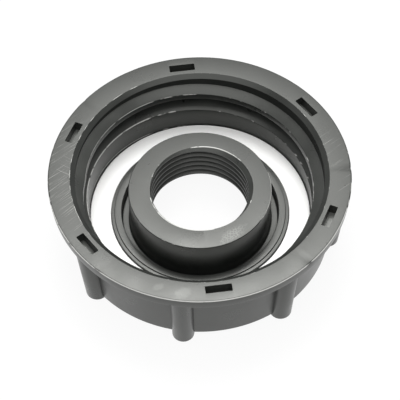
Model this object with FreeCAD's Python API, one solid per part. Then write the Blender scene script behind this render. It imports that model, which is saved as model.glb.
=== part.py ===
import FreeCAD, Part

import math
import os

# Adapter that screws onto the outlet valve of a bulk liquid tank, in millimetres.
# One moulded plastic body: a lugged union nut with a coarse thread in its mouth, a floor, and a
# pipe-threaded boss in the middle with a locating ring round it. A flat sealing ring lies in the seat.
# +Z points up through the mouth. The origin is the centre of the plane that the lug feet stand on.

# Pipe socket and boss
PIPE_MINOR_RADIUS = 12.06      # crest of the 3/4 inch parallel pipe thread
PIPE_MOUTH_CHAMFER = 0.2
PIPE_EXIT_CHAMFER = 1.25       # opens the socket towards the recess below it
BOSS_WALL = 5.54
BOSS_HEIGHT = 11.85            # boss top above the seat
BOSS_EDGE_EASE = 0.15
RECESS_WALL = 2.0              # wall left round the recess under the boss
RECESS_DEPTH = 2.95

# Groove, locating ring and seat
GROOVE_WIDTH = 1.95            # between the boss and the locating ring
GROOVE_FLOOR_EASE = 0.3
RING_WALL = 2.55
RING_HEIGHT = 3.2              # ring top above the seat
RING_STEP_WIDTH = 0.8
RING_STEP_DEPTH = 0.35
FLOOR_THICKNESS = 2.6

# Sealing ring
GASKET_WIDTH = 5.12
GASKET_THICKNESS = 2.44
GASKET_CLEARANCE = 0.12        # round its inside and its outside
GASKET_EDGE_EASE = 0.2

# Coarse mouth thread, right hand
PITCH = 6.0
THREAD_DEPTH = 2.99            # root radius less the seat wall's radius
THREAD_DRAFT_DEG = 1.9         # the crests open towards the mouth
CREST_WIDTH = 1.5
FLANK_DEG = 22.7               # slope of the flank that faces the mouth
BACK_FLANK_DEG = 3.0           # slope of the flank that carries the load
THREAD_START_DEG = -98.0       # the ridge leaves the shoulder here, round from +X
FREE_RIDGE_DEG = 315.0         # turn of the free ridge, from the shoulder to its end
THREAD_RUN_IN = 0.82           # rim top down to the flank's root where the ridge ends
RIDGE_RAMP_DEG = 39.0          # the ridge fades into the root over this last turn

# Mouth, flange and barrel
RIM_HEIGHT = 22.0              # rim top above the lug feet
RIM_WIDTH = 5.4
RIM_EDGE_EASE = 0.3
RIM_DRAFT = 0.3                # the flange is this much smaller at its lower edge
MOUTH_BEVEL_WIDTH = 1.15
MOUTH_BEVEL_DEPTH = 0.9
FLANGE_EDGE_THICKNESS = 3.0
FLANGE_ROOT_THICKNESS = 4.6
BARREL_WALL = 2.95             # outside the thread's root, at the top
BARREL_DRAFT = 1.0             # the barrel is this much smaller at its foot
BARREL_FOOT_EASE = 0.35

# Grip lugs, which are also the feet
LUG_COUNT = 8
LUG_FIRST_DEG = -98.0
LUG_WIDTH = 5.4
LUG_TOP_INSET = 0.4            # the lug's nose inside the rim's radius
LUG_FOOT_REACH = 2.3           # the lug's foot outside the barrel's foot
LUG_FOOT_EASE = 0.3
LUG_ROOT_DEPTH = 1.4           # how far the lug runs back into the barrel's wall
FOOT_STAND = 1.2               # underside of the floor above the feet

# Pockets in the rim
POCKET_COUNT = 6
POCKET_FIRST_DEG = 37.0
POCKET_LENGTH = 6.4
POCKET_WIDTH = 2.06
POCKET_DEPTH = 3.0
POCKET_INSET = 2.0             # pocket centre line outside the mouth's edge

# Heights worked out from the sizes above
seat_z = FOOT_STAND + FLOOR_THICKNESS
ring_top_z = seat_z + RING_HEIGHT
boss_top_z = seat_z + BOSS_HEIGHT
recess_top_z = FOOT_STAND + RECESS_DEPTH
bevel_foot_z = RIM_HEIGHT - MOUTH_BEVEL_DEPTH
flange_edge_z = RIM_HEIGHT - FLANGE_EDGE_THICKNESS
flange_root_z = RIM_HEIGHT - FLANGE_ROOT_THICKNESS

# Radii, from the pipe socket outwards
boss_radius = PIPE_MINOR_RADIUS + BOSS_WALL
recess_radius = boss_radius - RECESS_WALL
ring_bore_radius = boss_radius + GROOVE_WIDTH
ring_radius = ring_bore_radius + RING_WALL
ring_step_radius = ring_radius - RING_STEP_WIDTH
gasket_bore_radius = ring_radius + GASKET_CLEARANCE
gasket_radius = gasket_bore_radius + GASKET_WIDTH
seat_wall_radius = gasket_radius + GASKET_CLEARANCE
thread_root_radius = seat_wall_radius + THREAD_DEPTH
mouth_radius = thread_root_radius + MOUTH_BEVEL_WIDTH
rim_radius = mouth_radius + RIM_WIDTH
barrel_top_radius = thread_root_radius + BARREL_WALL
barrel_foot_radius = barrel_top_radius - BARREL_DRAFT

# Construction allowances
BURY = 0.6                     # how far an added solid runs into the one that carries it
CLEAR = 1.0                    # how far a cutting solid stands out of the face it cuts


def in_section(radius, height):
    return FreeCAD.Vector(radius, 0, height)


def at_angle(radius, angle_deg, height):
    angle = math.radians(angle_deg)
    return FreeCAD.Vector(radius * math.cos(angle), radius * math.sin(angle), height)


def turned(shape, angle_deg):
    copy = shape.copy()
    copy.rotate(FreeCAD.Vector(0, 0, 0), FreeCAD.Vector(0, 0, 1), angle_deg)
    return copy


def eased_corner(before, here, after, ease):
    """Points of one corner of an outline: the corner itself, or the two ends of its chamfer."""
    if ease == 0:
        return [here]
    return [here + (before - here).normalize() * ease, here + (after - here).normalize() * ease]


def revolved(outline):
    """Solid of revolution about Z from (radius, height, edge ease) points."""
    points = [in_section(radius, height) for radius, height, ease in outline]
    count = len(points)
    corners = []
    for i in range(count):
        corners += eased_corner(points[i - 1], points[i], points[(i + 1) % count], outline[i][2])
    face = Part.Face(Part.makePolygon(corners + corners[:1]))
    return face.revolve(FreeCAD.Vector(0, 0, 0), FreeCAD.Vector(0, 0, 1), 360)


def turned_body():
    """Everything in the moulding that is round: nut, floor, locating ring and boss."""
    return revolved([
        (recess_radius, FOOT_STAND, 0),
        (barrel_foot_radius, FOOT_STAND, BARREL_FOOT_EASE),
        (barrel_top_radius, flange_root_z, 0),
        (rim_radius - RIM_DRAFT, flange_edge_z, 0),
        (rim_radius, RIM_HEIGHT, RIM_EDGE_EASE),
        (mouth_radius, RIM_HEIGHT, 0),
        (thread_root_radius, bevel_foot_z, 0),
        (thread_root_radius, seat_z, 0),
        (ring_radius, seat_z, 0),
        (ring_radius, ring_top_z - RING_STEP_DEPTH, 0),
        (ring_step_radius, ring_top_z - RING_STEP_DEPTH, 0),
        (ring_step_radius, ring_top_z, 0),
        (ring_bore_radius, ring_top_z, 0),
        (ring_bore_radius, seat_z, GROOVE_FLOOR_EASE),
        (boss_radius, seat_z, GROOVE_FLOOR_EASE),
        (boss_radius, boss_top_z, BOSS_EDGE_EASE),
        (PIPE_MINOR_RADIUS + PIPE_MOUTH_CHAMFER, boss_top_z, 0),
        (PIPE_MINOR_RADIUS, boss_top_z - PIPE_MOUTH_CHAMFER, 0),
        (PIPE_MINOR_RADIUS, recess_top_z + PIPE_EXIT_CHAMFER, 0),
        (PIPE_MINOR_RADIUS + PIPE_EXIT_CHAMFER, recess_top_z, 0),
        (recess_radius, recess_top_z, 0),
    ])


def crest_radius(height):
    """Radius of the cone that the thread's crests and the seat's wall lie on."""
    return seat_wall_radius + (height - seat_z) * math.tan(math.radians(THREAD_DRAFT_DEG))


def thread_space():
    """The ring of space that ridges may fill, from the crest cone to inside the nut's wall."""
    low = seat_z - BURY
    high = RIM_HEIGHT
    outer = thread_root_radius + BURY
    return revolved([
        (crest_radius(low), low, 0),
        (outer, low, 0),
        (outer, high, 0),
        (crest_radius(high), high, 0),
    ])


def swept(section, start_z, start_deg, turns):
    """Sweeps (radius, height) points along a right-hand helix that starts at the given angle."""
    helix = Part.makeHelix(PITCH, PITCH * turns, thread_root_radius)
    helix.translate(FreeCAD.Vector(0, 0, start_z))
    corners = [in_section(radius, start_z + height) for radius, height in section]
    outline = Part.makePolygon(corners + corners[:1])
    solid = Part.Wire(helix.Edges).makePipeShell([outline], True, True)
    return turned(solid, start_deg)


def ridge_section(foot_drop):
    """Section of a ridge about its flank's root. Without foot_drop the ridge has a back flank."""
    inner = seat_wall_radius - CLEAR
    outer = thread_root_radius + BURY + CLEAR
    flank = math.tan(math.radians(FLANK_DEG))
    back = math.tan(math.radians(BACK_FLANK_DEG))
    crest_drop = (thread_root_radius - seat_wall_radius) * flank + CREST_WIDTH

    def flank_height(radius):
        return (radius - thread_root_radius) * flank

    def back_height(radius):
        return -crest_drop - (radius - seat_wall_radius) * back

    low_inner, low_outer = back_height(inner), back_height(outer)
    if foot_drop:
        low_inner = low_outer = -foot_drop
    return [
        (outer, flank_height(outer)),
        (inner, flank_height(inner)),
        (inner, low_inner),
        (outer, low_outer),
    ]


def ridge_ramp():
    """Cuts the ridge's last stretch back, so that it fades into the root."""
    end = THREAD_START_DEG + FREE_RIDGE_DEG
    low = RIM_HEIGHT - THREAD_RUN_IN - PITCH + CLEAR
    inner = seat_wall_radius - CLEAR
    steps = 4
    corners = [at_angle(inner, end + RIDGE_RAMP_DEG / steps, low)]
    for i in range(steps + 1):
        faded = i / steps
        radius = crest_radius(RIM_HEIGHT) + faded * (thread_root_radius - crest_radius(RIM_HEIGHT))
        corners.append(at_angle(radius, end - (1 - faded) * RIDGE_RAMP_DEG, low))
    corners.append(at_angle(thread_root_radius + BURY, end + RIDGE_RAMP_DEG / steps, low))
    face = Part.Face(Part.makePolygon(corners + corners[:1]))
    return face.extrude(FreeCAD.Vector(0, 0, RIM_HEIGHT - low))


def mouth_thread():
    """A free ridge nearest the mouth, and below it one turn of shoulder above the seat's wall."""
    free_turns = FREE_RIDGE_DEG / 360
    free_z = RIM_HEIGHT - THREAD_RUN_IN - PITCH * free_turns
    shoulder_z = free_z - PITCH
    shoulder_drop = free_z - seat_z + PITCH
    half_z = shoulder_z + PITCH / 2
    ridge = swept(ridge_section(0), free_z, THREAD_START_DEG, free_turns)
    lower = swept(ridge_section(shoulder_drop), shoulder_z, THREAD_START_DEG, 0.5)
    upper = swept(ridge_section(shoulder_drop), half_z, THREAD_START_DEG + 180, 0.5)
    space = thread_space()
    return [space.common(ridge).cut(ridge_ramp()), space.common(lower), space.common(upper)]


def lug_outline():
    """A bar with a half-round nose at the origin, running back along -X."""
    half = LUG_WIDTH / 2
    back = -(LUG_FOOT_REACH + LUG_ROOT_DEPTH)
    left = FreeCAD.Vector(-half, half, 0)
    right = FreeCAD.Vector(-half, -half, 0)
    back_left = FreeCAD.Vector(back, half, 0)
    back_right = FreeCAD.Vector(back, -half, 0)
    nose = FreeCAD.Vector(0, 0, 0)
    return Part.Wire([
        Part.LineSegment(back_right, right).toShape(),
        Part.Arc(right, nose, left).toShape(),
        Part.LineSegment(left, back_left).toShape(),
        Part.LineSegment(back_left, back_right).toShape(),
    ])


def lugs():
    """Bars that lean out from the foot to just inside the flange's edge, cut level at both ends."""
    foot_nose = barrel_foot_radius + LUG_FOOT_REACH
    top_nose = rim_radius - LUG_TOP_INSET
    top_z = flange_edge_z + BURY
    lean_deg = math.degrees(math.atan((top_nose - foot_nose) / flange_edge_z))
    bar = Part.Face(lug_outline()).extrude(FreeCAD.Vector(0, 0, top_z + 2 * CLEAR))
    bar.translate(FreeCAD.Vector(0, 0, -CLEAR))
    bar.rotate(FreeCAD.Vector(0, 0, 0), FreeCAD.Vector(0, 1, 0), lean_deg)
    bar.translate(FreeCAD.Vector(foot_nose, 0, 0))
    corner = FreeCAD.Vector(0, -LUG_WIDTH, 0)
    lug = bar.common(Part.makeBox(rim_radius, 2 * LUG_WIDTH, top_z, corner))
    foot_edges = [edge for edge in lug.Edges if edge.BoundBox.ZMax < LUG_FOOT_EASE]
    lug = lug.makeChamfer(LUG_FOOT_EASE, foot_edges)
    return [turned(lug, LUG_FIRST_DEG + i * 360 / LUG_COUNT) for i in range(LUG_COUNT)]


def pockets():
    centre_line = mouth_radius + POCKET_INSET
    corner = FreeCAD.Vector(centre_line - POCKET_WIDTH / 2, -POCKET_LENGTH / 2, RIM_HEIGHT - POCKET_DEPTH)
    pocket = Part.makeBox(POCKET_WIDTH, POCKET_LENGTH, POCKET_DEPTH + CLEAR, corner)
    return [turned(pocket, POCKET_FIRST_DEG + i * 360 / POCKET_COUNT) for i in range(POCKET_COUNT)]


def adapter_body():
    body = turned_body().fuse(mouth_thread() + lugs())
    body = body.cut(pockets())
    return body.removeSplitter()


def gasket():
    top = seat_z + GASKET_THICKNESS
    return revolved([
        (gasket_bore_radius, seat_z, 0),
        (gasket_radius, seat_z, 0),
        (gasket_radius, top, GASKET_EDGE_EASE),
        (gasket_bore_radius, top, GASKET_EDGE_EASE),
    ])


def single_solid(shape, name):
    if len(shape.Solids) != 1 or not shape.Solids[0].isValid():
        raise ValueError(name + " is not one valid solid")
    return shape.Solids[0]


def main():
    os.makedirs("parts", exist_ok=True)
    nodes = {"adapter_body": adapter_body(), "gasket": gasket()}
    for name, shape in nodes.items():
        solid = single_solid(shape, name)
        solid.exportStep("parts/" + name + ".step")
        print(name, round(solid.Volume, 1), "mm3")


main()
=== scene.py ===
from math import cos, exp, pi, radians, sin, tan, tau
from types import SimpleNamespace

import bmesh
import bpy
from bpy.props import FloatProperty, FloatVectorProperty, IntProperty, PointerProperty
from mathutils import Matrix, Vector, noise


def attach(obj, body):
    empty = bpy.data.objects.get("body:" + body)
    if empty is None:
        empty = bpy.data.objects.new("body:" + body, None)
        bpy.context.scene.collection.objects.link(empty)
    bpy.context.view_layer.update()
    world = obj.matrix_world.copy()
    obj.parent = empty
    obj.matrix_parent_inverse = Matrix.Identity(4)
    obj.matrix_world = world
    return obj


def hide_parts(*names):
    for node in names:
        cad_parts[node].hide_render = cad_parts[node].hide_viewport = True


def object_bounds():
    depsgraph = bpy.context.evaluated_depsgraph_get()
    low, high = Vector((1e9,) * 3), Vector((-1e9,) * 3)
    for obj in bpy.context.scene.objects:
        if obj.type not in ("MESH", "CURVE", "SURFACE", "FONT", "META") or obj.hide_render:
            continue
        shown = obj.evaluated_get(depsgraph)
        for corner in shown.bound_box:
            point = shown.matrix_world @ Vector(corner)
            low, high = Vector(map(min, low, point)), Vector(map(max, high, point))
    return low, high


bl_info = {
    "name": "Tank tap adapter",
    "version": (1, 0, 0),
    "blender": (4, 5, 0),
    "location": "3D View > Sidebar > Tap adapter",
    "description": "Builds a lugged, threaded tank adapter with its sealing ring and its stage",
    "category": "Add Mesh",
}

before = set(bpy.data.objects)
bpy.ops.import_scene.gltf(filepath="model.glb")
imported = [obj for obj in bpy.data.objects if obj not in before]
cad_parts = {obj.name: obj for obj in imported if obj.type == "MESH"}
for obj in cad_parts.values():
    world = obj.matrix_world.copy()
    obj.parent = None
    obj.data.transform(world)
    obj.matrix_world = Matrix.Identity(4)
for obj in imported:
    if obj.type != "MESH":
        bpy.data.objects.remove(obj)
cad_low, cad_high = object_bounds()

MM = 0.001
TINY = 1e-7  # vertices nearer than this are one
COLUMNS = 288  # columns of faces round the moulding
ARC_STEPS = 6  # faces across a rounded edge
NOSE_STEPS = 13  # faces round a lug's nose
SMOOTH_UP_TO = 25  # degrees between faces that are still shaded as one
LUG_OVERLAP = 0.6 * MM  # how far a lug's top stands inside the flange
POCKET_OVER = 1.0 * MM  # how far a pocket's cutter stands out of the rim

PIPE_FLANK = radians(27.5)
PIPE_ROOT_FLAT = 0.17  # flat at the pipe thread's root, as a share of its pitch
PIPE_CUT_INSIDE = 0.2 * MM  # how far the thread's cutter reaches inside the crests
PIPE_SPARE_TURNS = 1.5  # turns of the thread's cutter beyond each end of the bore
HELIX_STEPS = 120  # steps of the cutter in one turn

# Nicks in the rim's outer edge: place round from +X and half width in degrees, depth in mm
RIM_NICKS = [
    (2.0, 0.9, 0.28),
    (-46.0, 0.8, 0.22),
    (-131.0, 0.5, 0.12),
    (141.0, 0.6, 0.12),
]
NICK_DROP = 0.6  # how deep a nick is downwards, as a share of its depth inwards
# How far the wear of each edge spreads from it, and how far apart its dents are
RIM_WEAR_SPREAD = 0.5 * MM
MOUTH_WEAR_SPREAD = 0.25 * MM
BORE_WEAR_SPREAD = 0.4 * MM
COARSE_DENTS = 1.3 * MM
FINE_DENTS = 0.5 * MM
FINE_SHIFT = Vector((7.0, 3.0, 1.0))

# Edges that are rubbed bright, partly real burrs and partly painted highlights: width of the line in
# mm, share of it that shows all round, how much more shows within arcs, and each arc's middle and
# half width in degrees round from +X
EDGE_WEAR_AND_HIGHLIGHTS = {
    "mouth": (0.06, 0.25, 0.30, [(160.0, 70.0)]),
    "bore": (0.17, 0.35, 0.65, [(68.0, 34.0), (-112.0, 44.0)]),
    "rim": (0.20, 0.20, 0.75, [(-90.0, 100.0)]),
    "boss": (0.16, 0.15, 0.70, [(-8.0, 30.0)]),
    "crest": (0.13, 0.35, 0.45, [(160.0, 70.0)]),
}
RIM_LINE_IN = 0.08 * MM  # the rim's bright line is this far inside its edge
RIM_LINE_DOWN = 0.12 * MM  # and this far below its top
BORE_LINE_OUT = 0.25 * MM  # the bore's bright line is at least this far outside the crests
CREST_LINE_OUT = 0.25 * MM  # the ridge's crest ends about this far outside the seat's wall
CREST_SLACK = 0.4 * MM  # and by this much more or less, because it opens upwards

# Scratched places of the rim: place round from +X in degrees, size in mm, direction of the lines in
# degrees, amount
RIM_SCRATCHES = [
    (172.0, 15.0, 38.0, 0.75),
    (194.0, 13.0, 44.0, 0.70),
    (181.0, 9.0, -30.0, 0.40),
    (8.0, 13.0, 38.0, 0.50),
]
LAYER = 0.1 * MM  # a mark shows on faces that are nearer than this to its height
SCRATCH_PALE = 0.8  # how much a scratch is paler than the plastic
SCRATCH_BRIGHT = 0.3  # how much of it takes the colour of the burrs and painted edge highlights
SCRATCH_DEPTH = 0.5  # how deep it is, as a share of the grain's depth
SCRATCH_ROUGH = 0.08  # how much rougher it is

# Scuffs: height that they lie at, radius in mm, place round from +X in degrees, direction in degrees,
# length and width in mm, how crackled they are, strength
SCUFFS = [
    ("boss_z", 15.7, -60.0, 38.0, 4.6, 1.7, 1.0, 0.75),
    ("top_z", 34.6, -97.0, 20.0, 2.2, 1.8, 0.0, 0.36),
    ("top_z", 34.2, -107.0, 20.0, 1.6, 1.1, 0.0, 0.36),
]
POCKET_FLOOR_PAINTED_LIGHT = 0.8  # painted light on the floors of the rim's pockets: how much of the pale colour they take

MOTTLE_RANGE = (0.3, 0.7)  # noise values between which the mottle goes from none to full
MOTTLE_SMOOTHER = 0.04  # how much smoother the plastic is at the mottle's low end
MOTTLE_ROUGHER = 0.05  # and rougher at its high end
PLASTIC_BUMP = 0.6
SEAL_BUMP = 0.4
SEAL_SHADE = (0.8, 0.8, 0.78)  # the sealing ring's darker mottle, as shares of its colour
FLOOR_ROUGHNESS = 0.9

# Softboxes: name, azimuth and elevation in degrees, distance, width, height in metres, power in watts
SOFTBOXES = [
    ("key", 90.0, 70.0, 1.0, 0.40, 0.36, 4.9),
    ("back", 90.0, 56.0, 1.05, 1.1, 0.55, 5.0),
    ("top", 90.0, 88.0, 1.05, 0.7, 0.5, 2.8),
    ("front", -90.0, 56.0, 1.05, 1.3, 0.7, 3.6),
]


def length(description, millimetres):
    return FloatProperty(description=description, default=millimetres * MM,
                         precision=5, subtype="DISTANCE", unit="LENGTH")


def angle(description, degrees):
    return FloatProperty(description=description, default=radians(degrees),
                         subtype="ANGLE", unit="ROTATION")


def number(description, default):
    return FloatProperty(description=description, default=default)


def count(description, default):
    return IntProperty(description=description, default=default, min=1)


def colour(description, rgb):
    return FloatVectorProperty(description=description, default=(*rgb, 1.0), size=4,
                               min=0.0, max=1.0, subtype="COLOR")


def label(name):
    """A value's name as the sidebar and the node groups show it."""
    return name.replace("_", " ").capitalize()


class MouldingSizes(bpy.types.PropertyGroup):
    """Sizes of the dark moulding, as the solid has them."""
    rim_radius: length("Outer radius of the flange", (cad_high.x - cad_low.x) / 2 / MM)
    rim_height: length("Rim top above the lug feet", cad_high.z / MM)
    rim_width: length("Mouth's edge to rim's edge", 5.4)
    bevel_width: length("Bevel inside the mouth, across", 1.15)
    bevel_depth: length("Bevel inside the mouth, down", 0.9)
    flange_edge: length("Thickness of the flange at its edge", 3.0)
    flange_root: length("Thickness of the flange at the barrel", 4.6)
    flange_draft: length("How much smaller its lower edge is", 0.3)
    barrel_wall: length("Wall outside the thread's root", 2.95)
    barrel_draft: length("How much smaller its foot is", 1.0)
    foot_stand: length("Underside of the floor above the lug feet", 1.2)
    floor: length("Thickness of the floor", 2.6)
    thread_depth: length("Its root outside the seat's wall", 2.99)
    thread_pitch: length("Pitch of the mouth thread", 6.0)
    thread_run_in: length("Rim top to the flank's root at the ridge's end", 0.82)
    crest_width: length("Flat width of the ridge's crest", 1.5)
    flank: angle("Slope of the flank that faces the mouth", 22.7)
    back_flank: angle("Slope of the flank that carries the load", 3.0)
    crest_draft: angle("The crests open towards the mouth by this angle", 1.9)
    thread_start: angle("Where the ridge begins, round from +X", -98.0)
    free_ridge: angle("Its turn, from the shoulder to its end", 315.0)
    ramp: angle("The ridge fades into the root over this last turn", 39.0)
    ring_wall: length("Wall of the locating ring", 2.55)
    ring_rise: length("Top of the ring above the seat", 3.2)
    ring_step_width: length("Step at the ring's outer edge, across", 0.8)
    ring_step_depth: length("Step at the ring's outer edge, down", 0.35)
    groove: length("Gap between the boss and the locating ring", 1.95)
    boss_wall: length("Wall of the boss outside the thread's crests", 5.54)
    boss_rise: length("Top of the boss above the seat", 11.85)
    recess_wall: length("Wall round the recess under the boss", 2.0)
    recess_depth: length("Depth of the recess under the boss", 2.95)
    pipe_crest: length("Radius of the pipe thread's crests", 12.06)
    pipe_root: length("Radius of the pipe thread's roots", 13.22)
    pipe_pitch: length("Pitch of the pipe thread", 1.814)
    pipe_exit: length("Chamfer that opens the socket downwards", 1.25)
    pipe_top_turn: angle("Where its groove leaves the boss top", 40.0)


class EdgeSizes(bpy.types.PropertyGroup):
    """Roundings of the moulding's edges, and how deep the dents of its worn edges are."""
    rim: length("The rim's outer edge", 0.35)
    mouth: length("Between the rim's top and the bevel", 0.1)
    flange_low: length("Under the flange's edge", 0.3)
    flange_root: length("Where the barrel meets the flange", 0.4)
    foot: length("Between the barrel and the underside", 0.5)
    recess: length("Both edges of the recess under the boss", 0.3)
    bore_chamfer: length("Chamfer at the bore's upper edge", 0.2)
    bore_lip: length("Between that chamfer and the boss's top", 0.06)
    boss: length("The boss's outer edge", 0.2)
    groove_foot: length("Both corners at the groove's bottom", 0.4)
    ring_bore: length("The locating ring's inner edge", 0.15)
    ring_outer: length("Both outer edges of the ring", 0.12)
    ring_step: length("The corner inside the ring's step", 0.06)
    crest: length("Both edges of the ridge's crest", 0.14)
    rim_wear: length("Depth of the rim edge's dents", 0.02)
    mouth_wear: length("Depth of the mouth edge's dents", 0.02)
    bore_wear: length("Depth of the bore edge's dents", 0.05)


class LugSizes(bpy.types.PropertyGroup):
    """Sizes of the grip lugs and of the pockets in the rim."""
    lugs: count("How many lugs stand round the barrel", 8)
    lug_first: angle("Its angle, round from +X", -98.0)
    lug_width: length("Width of a lug across its nose", 5.4)
    lug_top_inset: length("The nose inside the rim's radius, at the top", 0.4)
    lug_foot_reach: length("The nose outside the barrel's foot, at the foot", 2.3)
    lug_root: length("How far the lug runs back into the barrel", 1.4)
    lug_round: length("Rounding round the lug's foot", 0.45)
    pockets: count("How many pockets the rim has", 6)
    pocket_first: angle("Its angle, round from +X", 37.0)
    pocket_length: length("Length of a pocket along the rim", 6.4)
    pocket_width: length("Width of a pocket across the rim", 2.06)
    pocket_depth: length("Depth of a pocket", 3.0)
    pocket_inset: length("Centre line outside the mouth's edge", 2.0)
    pocket_round: length("Rounding of a pocket's corners", 0.2)


class FinishValues(bpy.types.PropertyGroup):
    """Colours and surface values of the two materials."""
    plastic: colour("Dark grey moulded plastic", (0.0165, 0.018, 0.0165))
    # Scuffed colour, also painted on the pockets' floors as the light that falls there
    scuffed: colour("The same plastic where it is rubbed", (0.15, 0.155, 0.145))
    # Burr colour, also painted on the edges as highlights
    burr: colour("Thin raised edges, rubbed nearly white", (0.52, 0.52, 0.50))
    roughness: number("Roughness of the moulded plastic", 0.30)
    gloss: number("Specular level of the moulded plastic", 0.53)
    sheen_tint: colour("Tint of the plastic's reflections", (0.99, 1.0, 0.955))
    grain: length("Size of the plastic's grain", 0.35)
    grain_depth: length("Depth of the plastic's grain", 0.012)
    mottle_size: length("Size of the plastic's slow mottle", 7.0)
    mottle: number("Share of the scuffed colour in it", 0.05)
    seal: colour("Matt white sealing ring", (0.94, 0.94, 0.925))
    seal_roughness: number("Roughness of the sealing ring", 0.55)
    seal_grain: length("Size of the sealing ring's grain", 0.25)
    seal_grain_depth: length("Depth of the sealing ring's grain", 0.01)
    seal_mottle_size: length("Size of the sealing ring's mottle", 5.0)
    seal_mottle: number("Strength of the sealing ring's mottle", 0.06)


class StageValues(bpy.types.PropertyGroup):
    """The stage: floor, even light and camera."""
    view_distance: length("From the camera to the point that it looks at", 468.3)
    view_offset: length("The point looked at, in front of the axis", 7.87)
    view_elevation: angle("Camera's height above the horizon", 54.297)
    view_roll: angle("Camera's turn about its own axis", 0.778)
    lens: number("Focal length in mm on a 36 mm sensor", 175.345)
    floor_size: length("Edge of the square floor", 6000.0)
    floor: colour("Pale floor", (0.90, 0.90, 0.90))
    floor_glow: number("Share of plain white in it, as seen", 0.92)
    sky: number("Strength of the world's even light", 0.46)


def moulding_levels(s):
    """Radii and heights of the moulding, from the rim inwards and from the feet upwards."""
    at = SimpleNamespace()
    at.rim = s.rim_radius
    at.mouth = at.rim - s.rim_width
    at.root = at.mouth - s.bevel_width
    at.seat_wall = at.root - s.thread_depth
    at.barrel_top = at.root + s.barrel_wall
    at.barrel_foot = at.barrel_top - s.barrel_draft
    at.boss = s.pipe_crest + s.boss_wall
    at.recess = at.boss - s.recess_wall
    at.ring_bore = at.boss + s.groove
    at.ring = at.ring_bore + s.ring_wall
    at.ring_step = at.ring - s.ring_step_width
    at.top_z = s.rim_height
    at.bevel_z = at.top_z - s.bevel_depth
    at.flange_z = at.top_z - s.flange_edge
    at.flange_root_z = at.top_z - s.flange_root
    at.under_z = s.foot_stand
    at.seat_z = at.under_z + s.floor
    at.recess_z = at.under_z + s.recess_depth
    at.ring_z = at.seat_z + s.ring_rise
    at.ring_step_z = at.ring_z - s.ring_step_depth
    at.boss_z = at.seat_z + s.boss_rise
    return at


def rounded(corners):
    """Points of an open outline whose (x, y, rounding) corners are replaced by arcs."""
    points = []
    for i, (x, y, rounding) in enumerate(corners):
        here = Vector((x, y))
        if not rounding:
            points.append(here)
            continue
        before = (Vector(corners[i - 1][:2]) - here).normalized()
        after = (Vector(corners[(i + 1) % len(corners)][:2]) - here).normalized()
        half = before.angle(after) / 2
        centre = here + (before + after).normalized() * (rounding / sin(half))
        start = here + before * (rounding / tan(half)) - centre
        end = here + after * (rounding / tan(half)) - centre
        sweep = -start.angle_signed(end)
        for k in range(ARC_STEPS + 1):
            points.append(centre + Matrix.Rotation(sweep * k / ARC_STEPS, 2) @ start)
    return points


def scene_object(name, data):
    made = bpy.data.objects.new(name, data)
    bpy.context.scene.collection.objects.link(made)
    return made


def finished_mesh(name, work):
    """Turns a bmesh into a mesh with its doubles merged and its faces outward."""
    bmesh.ops.remove_doubles(work, verts=work.verts, dist=TINY)
    bmesh.ops.dissolve_degenerate(work, edges=work.edges, dist=TINY)
    bmesh.ops.recalc_face_normals(work, faces=work.faces)
    mesh = bpy.data.meshes.new(name)
    work.to_mesh(mesh)
    work.free()
    return mesh


def fixed_outline(s, edge, at):
    """The moulding's section from the seat's corner inwards, round underneath and up to the bevel."""
    return rounded([
        (at.seat_wall, at.seat_z, 0),
        (at.ring, at.seat_z, 0),
        (at.ring, at.ring_step_z, edge.ring_outer),
        (at.ring_step, at.ring_step_z, edge.ring_step),
        (at.ring_step, at.ring_z, edge.ring_outer),
        (at.ring_bore, at.ring_z, edge.ring_bore),
        (at.ring_bore, at.seat_z, edge.groove_foot),
        (at.boss, at.seat_z, edge.groove_foot),
        (at.boss, at.boss_z, edge.boss),
        (s.pipe_crest + edge.bore_chamfer, at.boss_z, edge.bore_lip),
        (s.pipe_crest, at.boss_z - edge.bore_chamfer, 0),
        (s.pipe_crest, at.recess_z + s.pipe_exit, 0),
        (s.pipe_crest + s.pipe_exit, at.recess_z, 0),
        (at.recess, at.recess_z, edge.recess),
        (at.recess, at.under_z, edge.recess),
        (at.barrel_foot, at.under_z, edge.foot),
        (at.barrel_top, at.flange_root_z, edge.flange_root),
        (at.rim - s.flange_draft, at.flange_z, edge.flange_low),
        (at.rim, at.top_z, edge.rim),
        (at.mouth, at.top_z, edge.mouth),
        (at.root, at.bevel_z, 0),
    ])


def ridge_outline(s, edge, at, root_z, reach, has_back):
    """Points of one ridge from its flank's root inwards and, if it is free, back out to the root.

    Reach is the ridge's height as a share of its full height, down to 0 where it has faded out.
    """
    slope = tan(s.flank)
    lean = tan(s.crest_draft)
    back = tan(s.back_flank)
    low_z = root_z - (at.root - at.seat_wall) * slope - s.crest_width
    drafted_r = at.seat_wall + (root_z - at.root * slope - at.seat_z) * lean
    top_r = drafted_r / (1 - slope * lean)
    low_r = at.seat_wall + (low_z - at.seat_z) * lean
    top_r = at.root - (at.root - top_r) * reach
    low_r = at.root - (at.root - low_r) * reach
    corners = [
        (at.root, root_z, 0),
        (top_r, root_z - (at.root - top_r) * slope, edge.crest * reach),
    ]
    if not has_back:
        corners.append((at.seat_wall, at.seat_z, 0))
        return rounded(corners)[:-1]
    corners.append((low_r, low_z - (low_r - at.seat_wall) * back, edge.crest * reach))
    corners.append((at.root, low_z - (at.root - at.seat_wall) * back, 0))
    if reach > 0:
        return rounded(corners)
    root, top, low, foot = [Vector(corner[:2]) for corner in corners]
    return [root] + [top] * (ARC_STEPS + 1) + [low] * (ARC_STEPS + 1) + [foot]


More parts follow.
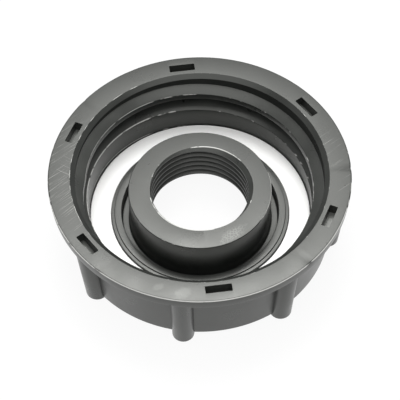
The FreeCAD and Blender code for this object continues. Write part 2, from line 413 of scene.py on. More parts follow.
def thread_wall(s, edge, at, turn):
    """The mouth's wall at one share of a turn past the thread's start, bevel to seat.

    The upper ridge is free and fades out before the turn ends. The lower one is the shoulder over
    the sealing ring. Where the turn closes, each side has points for what the other side has more.
    """
    free_turns = s.free_ridge / tau
    free_z = at.top_z - s.thread_run_in - s.thread_pitch * free_turns
    bevel_foot = Vector((at.root, at.bevel_z))
    seat = Vector((at.seat_wall, at.seat_z))

    def free_ridge(share):
        reach = max(0.0, min(1.0, (free_turns - share) * tau / s.ramp))
        points = ridge_outline(s, edge, at, free_z + s.thread_pitch * share, reach, True)
        return [Vector((point.x, min(point.y, at.bevel_z))) for point in points]

    def shoulder(share):
        return ridge_outline(s, edge, at, free_z + s.thread_pitch * (share - 1), 1.0, False)

    ended, begun = free_ridge(1), free_ridge(0)
    raised = min(1.0, 1.3 * turn)    # early, so that the spare points stay above the rising ridge
    above = [end.lerp(bevel_foot, raised) for end in (ended[0], ended[-1])]
    below = [seat.lerp(target, turn) for target in (begun[ARC_STEPS + 2], shoulder(0)[-1])]
    return above, free_ridge(turn), shoulder(turn), below


def turned_mesh(s, edge, at):
    """The moulding without its lugs, pockets and pipe thread: one column of points for each angle."""
    work = bmesh.new()
    fixed = fixed_outline(s, edge, at)
    columns = []
    for i in range(COLUMNS + 1):
        turn = i / COLUMNS
        around = s.thread_start + turn * tau
        above, upper, lower, below = thread_wall(s, edge, at, turn)
        section = fixed + above + upper + lower + below
        if i == 0:
            first = len(fixed) + len(above) + ARC_STEPS + 2
            last = len(fixed) + len(above) + len(upper) + len(lower) - 1
        columns.append([
            work.verts.new(weathered(s, edge, at, point.x, around, point.y)) for point in section
        ])
    rows = len(columns[0])
    for left, right in zip(columns, columns[1:]):
        for k in range(rows):
            j = (k + 1) % rows
            work.faces.new((left[k], left[j], right[j], right[k]))
    work.faces.new(columns[0][first:last + 1])
    return finished_mesh("turned", work)


def nearness(radius, height, edge_radius, edge_height, spread):
    """1 on an edge round the axis, falling to 0 past the spread."""
    off_squared = (radius - edge_radius) ** 2 + (height - edge_height) ** 2
    return exp(-off_squared / spread ** 2)


def nick_depth(around):
    """Depth of the nicks in the rim's edge at one angle."""
    depth = 0
    for where, width, deepest in RIM_NICKS:
        off = (around - radians(where) + pi) % tau - pi
        depth += deepest * MM * exp(-(off / radians(width)) ** 2)
    return depth


def weathered(s, edge, at, radius, around, height):
    """A point of the moulding, with the small dents and burrs that its edges have."""
    spot = Vector((radius * cos(around), radius * sin(around), height))
    outward = Vector((cos(around), sin(around), 0))
    on_rim = nearness(radius, height, at.rim, at.top_z, RIM_WEAR_SPREAD)
    on_mouth = nearness(radius, height, at.mouth, at.top_z, MOUTH_WEAR_SPREAD)
    on_bore = nearness(radius, height, s.pipe_crest, at.boss_z, BORE_WEAR_SPREAD)
    coarse = noise.noise(spot / COARSE_DENTS)
    fine = noise.noise(spot / FINE_DENTS + FINE_SHIFT)
    nick = nick_depth(around)
    inward = on_rim * (nick + edge.rim_wear * abs(coarse))
    ragged = on_mouth * edge.mouth_wear * coarse + on_bore * edge.bore_wear * fine
    move = outward * (ragged - inward)
    move.z -= on_rim * nick * NICK_DROP
    return spot + move


def nose_outline(half, back, inset):
    """A bar with a half-round nose at the origin, running back along -X, made smaller by an inset."""
    centre = Vector((-half, 0))
    small = half - inset
    arc = [pi * (k / NOSE_STEPS - 0.5) for k in range(NOSE_STEPS + 1)]
    points = [centre + Vector((cos(a), sin(a))) * small for a in arc]
    return points + [Vector((back, small)), Vector((back, -small))]


def lofted_mesh(name, loops):
    """A closed solid through loops of equally many points."""
    work = bmesh.new()
    rings = [[work.verts.new(point) for point in loop] for loop in loops]
    for low, high in zip(rings, rings[1:]):
        for k in range(len(low)):
            j = (k + 1) % len(low)
            work.faces.new((low[k], low[j], high[j], high[k]))
    work.faces.new(rings[0])
    work.faces.new(rings[-1])
    return finished_mesh(name, work)


def lug_mesh(lug, at):
    """One lug at angle 0: it leans out from its rounded foot to just inside the flange's edge."""
    foot_nose = at.barrel_foot + lug.lug_foot_reach
    top_nose = at.rim - lug.lug_top_inset
    lean = (top_nose - foot_nose) / at.flange_z
    back = -(lug.lug_foot_reach + lug.lug_root)
    levels = [(0.0, lug.lug_round)]
    for k in range(1, ARC_STEPS + 1):
        part = pi / 2 * k / ARC_STEPS
        height = lug.lug_round * (1 - cos(part))
        inset = lug.lug_round * (1 - sin(part))
        levels.append((height, inset))
    levels.append((at.flange_z + LUG_OVERLAP, 0.0))
    loops = []
    for height, inset in levels:
        nose = foot_nose + lean * height
        outline = nose_outline(lug.lug_width / 2, back, inset)
        loops.append([(nose + point.x, point.y, height) for point in outline])
    return lofted_mesh("lug", loops)


def pocket_mesh(lug, at):
    """The space of one rim pocket at angle 0, standing out of the rim's top."""
    middle = at.mouth + lug.pocket_inset
    across = lug.pocket_width / 2
    along = lug.pocket_length / 2
    corners = rounded([
        (middle - across, -along, lug.pocket_round),
        (middle + across, -along, lug.pocket_round),
        (middle + across, along, lug.pocket_round),
        (middle - across, along, lug.pocket_round),
    ])
    heights = (at.top_z - lug.pocket_depth, at.top_z + POCKET_OVER)
    return lofted_mesh("pocket", [[(point.x, point.y, z) for point in corners] for z in heights])


class Tree:
    """A node tree with short calls for its nodes, links and named inputs."""

    def __init__(self, name, kind="GeometryNodeTree"):
        self.tree = bpy.data.node_groups.new(name, kind)
        self.source = self.tree.nodes.new("NodeGroupInput")
        self.sink = self.tree.nodes.new("NodeGroupOutput")

    def takes(self, name, kind="Float", default=None):
        socket = self.tree.interface.new_socket(name=name, in_out="INPUT",
                                                socket_type="NodeSocket" + kind)
        if default is not None:
            socket.default_value = default
        return self.source.outputs[name]

    def gives(self, name, value, kind="Float"):
        self.tree.interface.new_socket(name=name, in_out="OUTPUT", socket_type="NodeSocket" + kind)
        self.tree.links.new(value, self.sink.inputs[name])

    def node(self, kind, inputs=None, **settings):
        return add_node(self.tree, kind, inputs, **settings)

    def group(self, other, inputs):
        made = self.node("GeometryNodeGroup")
        made.node_tree = other
        feed(self.tree, made, inputs)
        return made


def feed(tree, node, inputs):
    """Sets a node's inputs by name or place: a socket is linked, anything else is a plain value."""
    for key, value in inputs.items():
        if isinstance(value, bpy.types.NodeSocket):
            tree.links.new(value, node.inputs[key])
        else:
            node.inputs[key].default_value = value


def add_node(tree, kind, inputs=None, **settings):
    made = tree.nodes.new(kind)
    for key, value in settings.items():
        setattr(made, key, value)
    feed(tree, made, inputs or {})
    return made


def maths(tree, operation, *values, clamp=False):
    made = add_node(tree, "ShaderNodeMath", dict(enumerate(values)), operation=operation,
                    use_clamp=clamp)
    return made.outputs[0]


def copies_round_axis_tree():
    """Copies of a pattern object, spread evenly round the Z axis."""
    made = Tree("Copies round the axis")
    pattern = made.takes("Pattern", "Object")
    copies = made.takes("Copies", "Int")
    first = made.takes("First angle")
    points = made.node("GeometryNodePoints", {"Count": copies, "Position": (0, 0, 0)})
    shape = made.node("GeometryNodeObjectInfo", {"Object": pattern})
    index = made.node("GeometryNodeInputIndex")
    step = maths(made.tree, "DIVIDE", tau, copies)
    turned = maths(made.tree, "MULTIPLY_ADD", index.outputs[0], step, first)
    rotation = made.node("ShaderNodeCombineXYZ", {"Z": turned})
    placed = made.node("GeometryNodeInstanceOnPoints", {
        "Points": points.outputs[0],
        "Instance": shape.outputs["Geometry"],
        "Rotation": rotation.outputs[0],
    })
    plain = made.node("GeometryNodeRealizeInstances", {0: placed.outputs[0]})
    made.gives("Geometry", plain.outputs[0], "Geometry")
    return made.tree


def helical_groove_tree():
    """The space of a pipe thread's groove: a V with a flat bottom, swept up a right-hand helix.

    The groove leaves the bore at the exit height, at the exit angle round from +X, and runs on past
    both ends of the bore by the spare turns.
    """
    made = Tree("Helical groove")
    crest = made.takes("Crest radius")
    root = made.takes("Root radius")
    pitch = made.takes("Pitch")
    turns = made.takes("Turns")
    exit_angle = made.takes("Exit angle")
    exit_height = made.takes("Exit height")
    tree = made.tree
    inner = maths(tree, "SUBTRACT", crest, PIPE_CUT_INSIDE)
    depth = maths(tree, "SUBTRACT", root, inner)
    narrow = maths(tree, "MULTIPLY", pitch, PIPE_ROOT_FLAT)
    wide = maths(tree, "MULTIPLY_ADD", depth, 2 * tan(PIPE_FLANK), narrow)
    middle = maths(tree, "MULTIPLY_ADD", depth, 0.5, inner)
    profile = made.node("GeometryNodeCurvePrimitiveQuadrilateral", {
        "Height": depth,
        "Bottom Width": wide,
        "Top Width": narrow,
        "Offset": 0.0,
    }, mode="TRAPEZOID")
    upright = made.node("GeometryNodeTransform", {
        "Geometry": profile.outputs[0],
        "Rotation": (0, 0, -pi / 2),
    })
    rise = maths(tree, "MULTIPLY", pitch, turns)
    helix = made.node("GeometryNodeCurveSpiral", {
        "Resolution": HELIX_STEPS,
        "Rotations": turns,
        "Start Radius": middle,
        "End Radius": middle,
        "Height": rise,
        "Reverse": True,
    })
    normal = made.node("GeometryNodeSetCurveNormal", {"Curve": helix.outputs[0]}, mode="Z_UP")
    swept = made.node("GeometryNodeCurveToMesh", {
        "Curve": normal.outputs[0],
        "Profile Curve": upright.outputs[0],
        "Fill Caps": True,
    })
    over = maths(tree, "MULTIPLY", pitch, PIPE_SPARE_TURNS)
    lowered = maths(tree, "SUBTRACT", exit_height, rise)
    drop = made.node("ShaderNodeCombineXYZ", {"Z": maths(tree, "ADD", lowered, over)})
    spin = maths(tree, "MULTIPLY_ADD", turns, -tau, exit_angle)
    spun = maths(tree, "ADD", spin, PIPE_SPARE_TURNS * tau)
    turn = made.node("ShaderNodeCombineXYZ", {"Z": spun})
    placed = made.node("GeometryNodeTransform", {
        "Geometry": swept.outputs[0],
        "Translation": drop.outputs[0],
        "Rotation": turn.outputs[0],
    })
    made.gives("Geometry", placed.outputs[0], "Geometry")
    return made.tree


def moulding_tree():
    """Adds the lugs to the turned blank and cuts the pockets and the pipe thread out of it."""
    made = Tree("Adapter moulding")
    blank = made.takes("Geometry", "Geometry")
    copies = copies_round_axis_tree()
    lugs = made.group(copies, {
        "Pattern": made.takes("Lug", "Object"),
        "Copies": made.takes("Lugs", "Int"),
        "First angle": made.takes("First lug"),
    })
    pockets = made.group(copies, {
        "Pattern": made.takes("Pocket", "Object"),
        "Copies": made.takes("Pockets", "Int"),
        "First angle": made.takes("First pocket"),
    })
    groove = made.group(helical_groove_tree(), {
        "Crest radius": made.takes("Pipe crest"),
        "Root radius": made.takes("Pipe root"),
        "Pitch": made.takes("Pipe pitch"),
        "Turns": made.takes("Pipe turns"),
        "Exit angle": made.takes("Pipe exit angle"),
        "Exit height": made.takes("Boss top"),
    })
    finish = made.takes("Finish", "Material")
    whole = made.node("GeometryNodeMeshBoolean", operation="UNION", solver="EXACT")
    made.tree.links.new(blank, whole.inputs["Mesh 2"])
    made.tree.links.new(lugs.outputs[0], whole.inputs["Mesh 2"])
    cut = made.node("GeometryNodeMeshBoolean", {"Mesh 1": whole.outputs[0]},
                    operation="DIFFERENCE", solver="EXACT")
    made.tree.links.new(pockets.outputs[0], cut.inputs["Mesh 2"])
    made.tree.links.new(groove.outputs[0], cut.inputs["Mesh 2"])
    plain = made.node("GeometryNodeRealizeInstances", {0: cut.outputs[0]})
    painted = made.node("GeometryNodeSetMaterial", {"Geometry": plain.outputs[0], "Material": finish})
    made.gives("Geometry", painted.outputs[0], "Geometry")
    return made.tree


def run_tree(carrier, tree, values, name):
    """Runs a tree on an object and returns the result as a plain mesh object."""
    modifier = carrier.modifiers.new(tree.name, "NODES")
    modifier.node_group = tree
    for item in tree.interface.items_tree:
        if item.name in values:
            modifier[item.identifier] = values[item.name]
    graph = bpy.context.evaluated_depsgraph_get()
    mesh = bpy.data.meshes.new_from_object(carrier.evaluated_get(graph))
    mesh.name = name
    carrier.modifiers.clear()
    return scene_object(name, mesh)


def smooth_between_edges(mesh, degrees):
    """Smooth shading that keeps edges sharper than the angle."""
    mesh.shade_smooth()
    mesh.set_sharp_from_angle(angle=radians(degrees))


def add_piece(piece, node):
    """Makes a piece stand for its solid and ride with it."""
    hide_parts(node)
    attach(piece, "root")


class BuildMoulding(bpy.types.Operator):
    """Builds the dark moulding: nut, floor, locating ring, boss, lugs, pockets and both threads"""
    bl_idname = "tap_adapter.build_moulding"
    bl_label = "Build moulding"

    def execute(self, context):
        settings = context.scene.tap_adapter
        s = settings.moulding
        lug = settings.lugs
        at = moulding_levels(s)
        blank = scene_object("blank", turned_mesh(s, settings.edges, at))
        lug_pattern = scene_object("lug_pattern", lug_mesh(lug, at))
        pocket_pattern = scene_object("pocket_pattern", pocket_mesh(lug, at))
        bore_turns = (at.boss_z - at.recess_z) / s.pipe_pitch
        values = {
            "Lug": lug_pattern,
            "Lugs": lug.lugs,
            "First lug": lug.lug_first,
            "Pocket": pocket_pattern,
            "Pockets": lug.pockets,
            "First pocket": lug.pocket_first,
            "Pipe crest": s.pipe_crest,
            "Pipe root": s.pipe_root,
            "Pipe pitch": s.pipe_pitch,
            "Pipe turns": bore_turns + 2 * PIPE_SPARE_TURNS,
            "Pipe exit angle": s.pipe_top_turn,
            "Boss top": at.boss_z,
            "Finish": plastic_material(settings.finish, s, lug, at),
        }
        piece = run_tree(blank, moulding_tree(), values, "adapter_moulding")
        for spent in (blank, lug_pattern, pocket_pattern):
            bpy.data.objects.remove(spent)
        smooth_between_edges(piece.data, SMOOTH_UP_TO)
        if len(piece.data.polygons) < COLUMNS:
            raise RuntimeError("the moulding's cuts left no solid")
        add_piece(piece, "adapter_body")
        return {"FINISHED"}


class FinishSealingRing(bpy.types.Operator):
    """Gives the white sealing ring its matt, faintly marked surface"""
    bl_idname = "tap_adapter.finish_sealing_ring"
    bl_label = "Finish sealing ring"

    def execute(self, context):
        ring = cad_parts["gasket"]
        ring.data.materials.clear()
        ring.data.materials.append(seal_material(context.scene.tap_adapter.finish))
        return {"FINISHED"}


def object_place(tree):
    """The point on the surface, in the object's own coordinates."""
    return add_node(tree, "ShaderNodeTexCoord").outputs["Object"]


def round_the_axis(tree, place):
    """Distance from the part's axis, height above its feet and turn from +X in turns, as sockets."""
    parts = add_node(tree, "ShaderNodeSeparateXYZ", {0: place})
    x, y, z = parts.outputs
    squared = maths(tree, "MULTIPLY_ADD", x, x, maths(tree, "MULTIPLY", y, y))
    turn = maths(tree, "DIVIDE", maths(tree, "ARCTAN2", y, x), tau)
    return maths(tree, "SQRT", squared), z, turn


def noise_at(tree, place, scale, detail):
    inputs = {"Vector": place, "Scale": scale, "Detail": detail}
    return add_node(tree, "ShaderNodeTexNoise", inputs).outputs["Fac"]


def vectors(tree, operation, *values):
    return add_node(tree, "ShaderNodeVectorMath", dict(enumerate(values)), operation=operation)


def plateau(tree, share):
    """1 over the inner half of a reach and falling to 0 at its end, which is a share of 1."""
    inside = maths(tree, "SUBTRACT", 1.0, share, clamp=True)
    return maths(tree, "MULTIPLY", inside, 2.0, clamp=True)


def past_level(tree, value, amount, bare, span, softness):
    """0 to 1 as a value passes a level, which sinks by the span as the amount goes from 0 to 1."""
    level = maths(tree, "SUBTRACT", bare, maths(tree, "MULTIPLY", amount, span))
    made = add_node(tree, "ShaderNodeMapRange", {
        "Value": value,
        "From Min": level,
        "From Max": maths(tree, "ADD", level, softness),
    })
    return made.outputs[0]


def grain_group():
    """Moulded grain: a height to bump with, and a slow mottle for colour and roughness."""
    made = Tree("Moulded grain", "ShaderNodeTree")
    size = made.takes("Grain size")
    mottle_size = made.takes("Mottle size")
    tree = made.tree
    place = object_place(tree)
    made.gives("Height", noise_at(tree, place, maths(tree, "DIVIDE", 1.0, size), 3.0))
    made.gives("Mottle", noise_at(tree, place, maths(tree, "DIVIDE", 1.0, mottle_size), 4.0))
    return made.tree


def edge_wear_and_highlight_group():
    """Where an edge round the axis is rubbed, or carries a painted highlight: a broken line about a
    circle, or about a helix.

    Lead is the helix's rise in a turn, and edges repeat up the axis by Period. Slack is how far the
    surface may lie inside or outside the radius.
    """
    made = Tree("Edge wear and highlight round the axis", "ShaderNodeTree")
    radius = made.takes("Radius")
    height = made.takes("Height")
    width = made.takes("Width")
    cover = made.takes("Cover")
    lead = made.takes("Lead")
    period = made.takes("Period", default=1.0)
    slack = made.takes("Slack")
    tree = made.tree
    place = object_place(tree)
    away, up, turn = round_the_axis(tree, place)
    off_radius = maths(tree, "ABSOLUTE", maths(tree, "SUBTRACT", away, radius))
    off_radius = maths(tree, "MAXIMUM", maths(tree, "SUBTRACT", off_radius, slack), 0.0)
    level = maths(tree, "SUBTRACT", up, maths(tree, "MULTIPLY", turn, lead))
    level = maths(tree, "SUBTRACT", level, height)
    half_period = maths(tree, "MULTIPLY", period, 0.5)
    low_end = maths(tree, "MULTIPLY", half_period, -1.0)
    off_height = maths(tree, "WRAP", level, half_period, low_end)
    height_squared = maths(tree, "MULTIPLY", off_height, off_height)
    squared = maths(tree, "MULTIPLY_ADD", off_radius, off_radius, height_squared)
    share = maths(tree, "DIVIDE", maths(tree, "SQRT", squared), width)
    ragged = noise_at(tree, place, 420.0, 4.0)
    shown = past_level(tree, ragged, cover, bare=0.72, span=0.45, softness=0.10)
    made.gives("Mask", maths(tree, "MULTIPLY", plateau(tree, share), shown))
    return made.tree


def arc_window_group():
    """How far a point is from the middle of an arc round the axis, in turns, and a mask of the arc.

    The mask is 1 in the arc's inner half and falls to 0 at its ends.
    """
    made = Tree("Arc round the axis", "ShaderNodeTree")
    middle = made.takes("Middle")
    reach = made.takes("Reach")
    tree = made.tree
    turn = round_the_axis(tree, object_place(tree))[2]
    off = maths(tree, "SUBTRACT", turn, maths(tree, "DIVIDE", middle, tau))
    off = maths(tree, "ABSOLUTE", maths(tree, "WRAP", off, 0.5, -0.5))
    share = maths(tree, "DIVIDE", off, maths(tree, "DIVIDE", reach, tau))
    made.gives("Off", off)
    made.gives("Mask", plateau(tree, share))
    return made.tree


def scratch_group():
    """Fine straight scratches in one direction, kept to a round patch and above a height."""
    made = Tree("Fine scratches", "ShaderNodeTree")
    direction = made.takes("Direction")
    centre = made.takes("Patch centre", "Vector")
    reach = made.takes("Patch size")
    amount = made.takes("Amount")
    lowest = made.takes("Lowest")
    tree = made.tree
    place = object_place(tree)
    on_top = maths(tree, "GREATER_THAN", round_the_axis(tree, place)[1], lowest)
    turned = made.node("ShaderNodeVectorRotate", {"Vector": place, "Angle": direction},
                       rotation_type="Z_AXIS")
    stretch = (90.0, 5200.0, 90.0)    # noise cells to the metre along, across and into the surface
    drawn = vectors(tree, "MULTIPLY", turned.outputs[0], stretch)
    lines = noise_at(tree, drawn.outputs[0], 1.0, 2.0)
    thin = past_level(tree, lines, amount, bare=0.71, span=0.12, softness=0.07)
    apart = vectors(tree, "DISTANCE", place, centre)
    share = maths(tree, "DIVIDE", apart.outputs["Value"], reach)
    inside = maths(tree, "POWER", maths(tree, "SUBTRACT", 1.0, share, clamp=True), 0.6)
    made.gives("Mask", maths(tree, "MULTIPLY", maths(tree, "MULTIPLY", thin, inside), on_top))
    return made.tree


def patch_group():
    """A ragged patch of the surface about one point, solid or crackled."""
    made = Tree("Ragged patch", "ShaderNodeTree")
    centre = made.takes("Patch centre", "Vector")
    direction = made.takes("Direction")
    long = made.takes("Length")
    wide = made.takes("Width")
    crackle = made.takes("Crackle")
    tree = made.tree
    place = object_place(tree)
    off = vectors(tree, "SUBTRACT", place, centre)
    turned = made.node("ShaderNodeVectorRotate", {"Vector": off.outputs[0], "Angle": direction},
                       rotation_type="Z_AXIS")
    half = made.node("ShaderNodeCombineXYZ", {"X": long, "Y": wide, "Z": wide})
    scaled = vectors(tree, "DIVIDE", turned.outputs[0], half.outputs[0])
    away = vectors(tree, "LENGTH", scaled.outputs[0])
    edge = maths(tree, "MULTIPLY_ADD", noise_at(tree, place, 900.0, 3.0), 0.9, -0.45)
    body = plateau(tree, maths(tree, "ADD", away.outputs["Value"], edge))
    cells = made.node("ShaderNodeTexVoronoi", {"Vector": place, "Scale": 1500.0},
                      feature="DISTANCE_TO_EDGE")
    cracks = made.node("ShaderNodeMapRange", {
        "Value": cells.outputs["Distance"],
        "From Min": 0.02,
        "From Max": 0.16,
        "To Min": 1.0,
        "To Max": 0.15,
    })
    pattern = made.node("ShaderNodeMix", {0: crackle, 2: 1.0, 3: cracks.outputs[0]},
                        data_type="FLOAT")
    made.gives("Mask", maths(tree, "MULTIPLY", body, pattern.outputs[0]))
    return made.tree


def place_group(tree, name, build, **inputs):
    """Places a shader group, built when its name is first asked for, and returns its outputs."""
    made = add_node(tree, "ShaderNodeGroup")
    made.node_tree = bpy.data.node_groups.get(name) or build()
    feed(tree, made, {label(key): value for key, value in inputs.items()})
    return made.outputs


def place_grain(tree, size, mottle_size):
    return place_group(tree, "Moulded grain", grain_group, grain_size=size, mottle_size=mottle_size)


def place_arc(tree, middle, reach):
    return place_group(tree, "Arc round the axis", arc_window_group, middle=middle, reach=reach)


def new_material(name):
    """A material with only its Principled BSDF and output."""
    material = bpy.data.materials.new(name)
    material.use_nodes = True
    return material, material.node_tree, material.node_tree.nodes["Principled BSDF"]


def at_angle(radius, degrees, height):
    turn = radians(degrees)
    return Vector((radius * cos(turn), radius * sin(turn), height))


def mixed(tree, factor, first, second):
    """Colour mix of two colours or sockets."""
    made = add_node(tree, "ShaderNodeMix", {0: factor, 6: first, 7: second}, data_type="RGBA")
    return made.outputs[2]


def mottled(tree, grain, low, high):
    """A value between low and high that follows the grain's slow mottle."""
    made = add_node(tree, "ShaderNodeMapRange", {
        "Value": grain["Mottle"],
        "From Min": MOTTLE_RANGE[0],
        "From Max": MOTTLE_RANGE[1],
        "To Min": low,
        "To Max": high,
    })
    return made.outputs[0]


def bump_normal(tree, height, distance, strength):
    made = add_node(tree, "ShaderNodeBump", {
        "Height": height,
        "Distance": distance,
        "Strength": strength,
    })
    return made.outputs[0]


def greatest(tree, values):
    """The largest of several sockets."""
    top = values[0]
    for other in values[1:]:
        top = maths(tree, "MAXIMUM", top, other)
    return top


def bore_edge(tree, s):
    """Radius of the boss top's inner edge, which the pipe thread's groove cuts back as it leaves."""
    off = place_arc(tree, s.pipe_top_turn, pi)["Off"]
    slope = s.pipe_pitch / tan(PIPE_FLANK)
    beyond = maths(tree, "MAXIMUM", maths(tree, "SUBTRACT", off, 0.5 * PIPE_ROOT_FLAT), 0.0)
    cut_back = maths(tree, "MULTIPLY_ADD", beyond, -slope, s.pipe_root)
    return maths(tree, "MAXIMUM", cut_back, s.pipe_crest + BORE_LINE_OUT)


def crest_edge_height(s, at):
    """Height of the ridge crest's upper edge where its helix passes +X."""
    root_drop = s.thread_pitch * (s.free_ridge + s.thread_start) / tau
    flank_drop = (s.thread_depth - CREST_LINE_OUT) * tan(s.flank)
    return at.top_z - s.thread_run_in - root_drop - flank_drop


def edge_wear_and_highlight_mask(tree, s, at):
    """Where the moulding's edges are rubbed bright, and where highlights are painted on them."""
    places = {
        "mouth": {"radius": at.mouth, "height": at.top_z},
        "bore": {"radius": bore_edge(tree, s), "height": at.boss_z},
        "rim": {"radius": at.rim - RIM_LINE_IN, "height": at.top_z - RIM_LINE_DOWN},
        "boss": {"radius": at.boss, "height": at.boss_z},
        "crest": {
            "radius": at.seat_wall + CREST_LINE_OUT,
            "height": crest_edge_height(s, at),
            "lead": s.thread_pitch,
            "period": s.thread_pitch,
            "slack": CREST_SLACK,
        },
    }
    masks = []
    for name, (width, all_round, more, arcs) in EDGE_WEAR_AND_HIGHLIGHTS.items():
        windows = [
            place_arc(tree, radians(middle), radians(reach))["Mask"]
            for middle, reach in arcs
        ]
        cover = maths(tree, "MULTIPLY_ADD", greatest(tree, windows), more, all_round)
        found = place_group(tree, "Edge wear and highlight round the axis", edge_wear_and_highlight_group, width=width * MM,
                            cover=cover, **places[name])
        masks.append(found["Mask"])
    return greatest(tree, masks)


def rim_scratches(tree, at):
    """Where the rim's top is scratched."""
    middle = (at.rim + at.mouth) / 2
    masks = []
    for around, size, direction, amount in RIM_SCRATCHES:
        found = place_group(tree, "Fine scratches", scratch_group,
                            patch_centre=at_angle(middle, around, at.top_z), patch_size=size * MM,
                            direction=radians(-direction), amount=amount,
                            lowest=at.top_z - LAYER)
        masks.append(found["Mask"])
    return greatest(tree, masks)


def scuff_marks(tree, at):
    """Where the boss's top has scuffs and the rim has smudges."""
    masks = []
    for level, radius, around, direction, long, wide, crackle, strength in SCUFFS:
        found = place_group(tree, "Ragged patch", patch_group,
                            patch_centre=at_angle(radius * MM, around, getattr(at, level)),
                            direction=radians(-direction), length=long * MM, width=wide * MM,
                            crackle=crackle)
        masks.append(maths(tree, "MULTIPLY", found["Mask"], strength))
    return greatest(tree, masks)


def pocket_floor_painted_light(tree, lug, at):
    """Painted light on the floors of the rim's pockets."""
    away, up, _ = round_the_axis(tree, object_place(tree))
    across = maths(tree, "COMPARE", away, at.mouth + lug.pocket_inset, lug.pocket_width)
    at_floor = maths(tree, "COMPARE", up, at.top_z - lug.pocket_depth, LAYER)
    return maths(tree, "MULTIPLY", maths(tree, "MULTIPLY", across, at_floor), POCKET_FLOOR_PAINTED_LIGHT)


def plastic_material(values, s, lug, at):
    """Satin dark grey plastic with moulded grain, rubbed edges with painted highlights, scratches,
    scuffs, and painted light on the pockets' floors.
    """
    material, tree, shader = new_material("body_plastic_satin")
    grain = place_grain(tree, values.grain, values.mottle_size)
    scratches = rim_scratches(tree, at)
    pale_scratches = maths(tree, "MULTIPLY", scratches, SCRATCH_PALE)
    # Paler where scratched and scuffed, and painted light on the pockets' floors
    pale = greatest(tree, [pale_scratches, scuff_marks(tree, at), pocket_floor_painted_light(tree, lug, at)])
    bright_scratches = maths(tree, "MULTIPLY", scratches, SCRATCH_BRIGHT)
    # Burrs and painted highlights on the edges, and the bright share of the scratches
    bright = maths(tree, "MAXIMUM", edge_wear_and_highlight_mask(tree, s, at), bright_scratches)
    base = mixed(tree, mottled(tree, grain, 0.0, values.mottle), values.plastic, values.scuffed)
    base = mixed(tree, pale, base, values.scuffed)
    base = mixed(tree, bright, base, values.burr)
    smoothest = values.roughness - MOTTLE_SMOOTHER
    rough = mottled(tree, grain, smoothest, values.roughness + MOTTLE_ROUGHER)
    height = maths(tree, "MULTIPLY_ADD", scratches, -SCRATCH_DEPTH, grain["Height"])
    feed(tree, shader, {
        "Base Color": base,
        "Roughness": maths(tree, "MULTIPLY_ADD", scratches, SCRATCH_ROUGH, rough),
        "Specular IOR Level": values.gloss,
        "Specular Tint": values.sheen_tint,
        "Normal": bump_normal(tree, height, values.grain_depth, PLASTIC_BUMP),
    })
    return material


def seal_material(values):
    """Matt white sealing ring with a faint mottle."""
    material, tree, shader = new_material("seal_white_matt")
    grain = place_grain(tree, values.seal_grain, values.seal_mottle_size)
    shade = [part * share for part, share in zip(values.seal, SEAL_SHADE)]
    faint = mottled(tree, grain, 0.0, values.seal_mottle)
    feed(tree, shader, {
        "Base Color": mixed(tree, faint, values.seal, (*shade, 1.0)),
        "Roughness": values.seal_roughness,
        "Normal": bump_normal(tree, grain["Height"], values.seal_grain_depth, SEAL_BUMP),
    })
    return material


def floor_material(stage):
    """Pale floor that the camera and reflections see nearly white, with the part's shadow kept."""
    material, tree, shader = new_material("floor_pale")
    feed(tree, shader, {"Base Color": stage.floor, "Roughness": FLOOR_ROUGHNESS})
    material.cycles.emission_sampling = "NONE"    # the glow is only seen, it lights nothing
    path = add_node(tree, "ShaderNodeLightPath")
    seen = maths(tree, "MAXIMUM", path.outputs["Is Camera Ray"], path.outputs["Is Glossy Ray"])
    seen = maths(tree, "MAXIMUM", seen, path.outputs["Is Transmission Ray"])
    glow = add_node(tree, "ShaderNodeEmission", {"Color": (1.0, 1.0, 1.0, 1.0), "Strength": 1.0})
    share = maths(tree, "MULTIPLY", seen, stage.floor_glow)
    both = add_node(tree, "ShaderNodeMixShader", {0: share, 1: shader.outputs[0], 2: glow.outputs[0]})
    tree.links.new(both.outputs[0], tree.nodes["Material Output"].inputs["Surface"])
    return material


def light_world(stage):
    """Even light from all round."""
    world = bpy.data.worlds.new("studio")
    world.use_nodes = True
    back = world.node_tree.nodes["Background"]
    back.inputs["Color"].default_value = (1.0, 1.0, 1.0, 1.0)
    back.inputs["Strength"].default_value = stage.sky
    bpy.context.scene.world = world


def add_softbox(name, azimuth, elevation, distance, width, height, power):
    """A rectangular lamp that faces the origin."""
    lamp = bpy.data.lights.new(name, "AREA")
    lamp.shape = "RECTANGLE"
    lamp.size = width
    lamp.size_y = height
    lamp.energy = power
    up = radians(elevation)
    around = radians(azimuth)
    away = Vector((cos(up) * cos(around), cos(up) * sin(around), sin(up)))
    holder = scene_object(name, lamp)
    holder.location = away * distance
    holder.rotation_euler = (-away).to_track_quat("-Z", "Y").to_euler()


def add_camera(stage, at):
    """The camera where the photograph was taken from, with its small roll."""
    back = Vector((0, -cos(stage.view_elevation), sin(stage.view_elevation)))
    right = Vector((1, 0, 0))
    up = back.cross(right)
    level = cos(stage.view_roll)
    tilt = sin(stage.view_roll)
    rolled_right = right * level - up * tilt
    rolled_up = right * tilt + up * level
    axes = Matrix((rolled_right, rolled_up, back)).transposed().to_4x4()
    place = Vector((0, -stage.view_offset, at.top_z)) + back * stage.view_distance
    camera = bpy.data.cameras.new("photo_camera")
    camera.sensor_width = 36.0
    camera.lens = stage.lens
    holder = scene_object("photo_camera", camera)
    holder.matrix_world = Matrix.Translation(place) @ axes
    bpy.context.scene.camera = holder


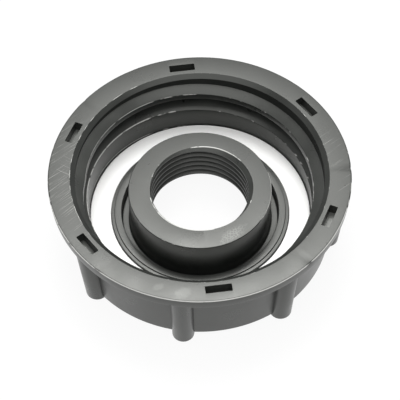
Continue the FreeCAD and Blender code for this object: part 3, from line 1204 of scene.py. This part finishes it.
class BuildStage(bpy.types.Operator):
    """Lays the pale floor and sets up the softboxes, the even light and the camera"""
    bl_idname = "tap_adapter.build_stage"
    bl_label = "Build stage"

    def execute(self, context):
        settings = context.scene.tap_adapter
        stage = settings.stage
        half = stage.floor_size / 2
        corners = [(-half, -half, 0), (half, -half, 0), (half, half, 0), (-half, half, 0)]
        sheet = bpy.data.meshes.new("floor")
        sheet.from_pydata(corners, [], [(0, 1, 2, 3)])
        sheet.materials.append(floor_material(stage))
        scene_object("floor", sheet)
        for softbox in SOFTBOXES:
            add_softbox(*softbox)
        light_world(stage)
        add_camera(stage, moulding_levels(settings.moulding))
        context.scene.view_settings.view_transform = "Standard"
        return {"FINISHED"}


class AdapterSettings(bpy.types.PropertyGroup):
    """All values of the adapter."""
    moulding: PointerProperty(description="Sizes of the moulding", type=MouldingSizes)
    edges: PointerProperty(description="Roundings and wear of the edges", type=EdgeSizes)
    lugs: PointerProperty(description="Sizes of both", type=LugSizes)
    finish: PointerProperty(description="Colours and surfaces", type=FinishValues)
    stage: PointerProperty(description="Floor, light and camera", type=StageValues)


class AdapterPanel(bpy.types.Panel):
    """Lists the steps and the values in the sidebar."""
    bl_idname = "VIEW3D_PT_tap_adapter"
    bl_label = "Tap adapter"
    bl_space_type = "VIEW_3D"
    bl_region_type = "UI"
    bl_category = "Tap adapter"

    def draw(self, context):
        for step in STEPS:
            self.layout.operator(step.bl_idname)
        settings = context.scene.tap_adapter
        for part in AdapterSettings.__annotations__:
            group = getattr(settings, part)
            box = self.layout.box()
            for name in group.__annotations__:
                box.prop(group, name, text=label(name))


GROUPS = (MouldingSizes, EdgeSizes, LugSizes, FinishValues, StageValues, AdapterSettings)
STEPS = (BuildMoulding, FinishSealingRing, BuildStage)
CLASSES = (*GROUPS, *STEPS, AdapterPanel)


def register():
    for made in CLASSES:
        bpy.utils.register_class(made)
    bpy.types.Scene.tap_adapter = PointerProperty(type=AdapterSettings)


def unregister():
    del bpy.types.Scene.tap_adapter
    for made in reversed(CLASSES):
        bpy.utils.unregister_class(made)


def main():
    register()
    bpy.ops.tap_adapter.build_moulding()
    bpy.ops.tap_adapter.finish_sealing_ring()
    bpy.ops.tap_adapter.build_stage()


if __name__ == "__main__":
    main()
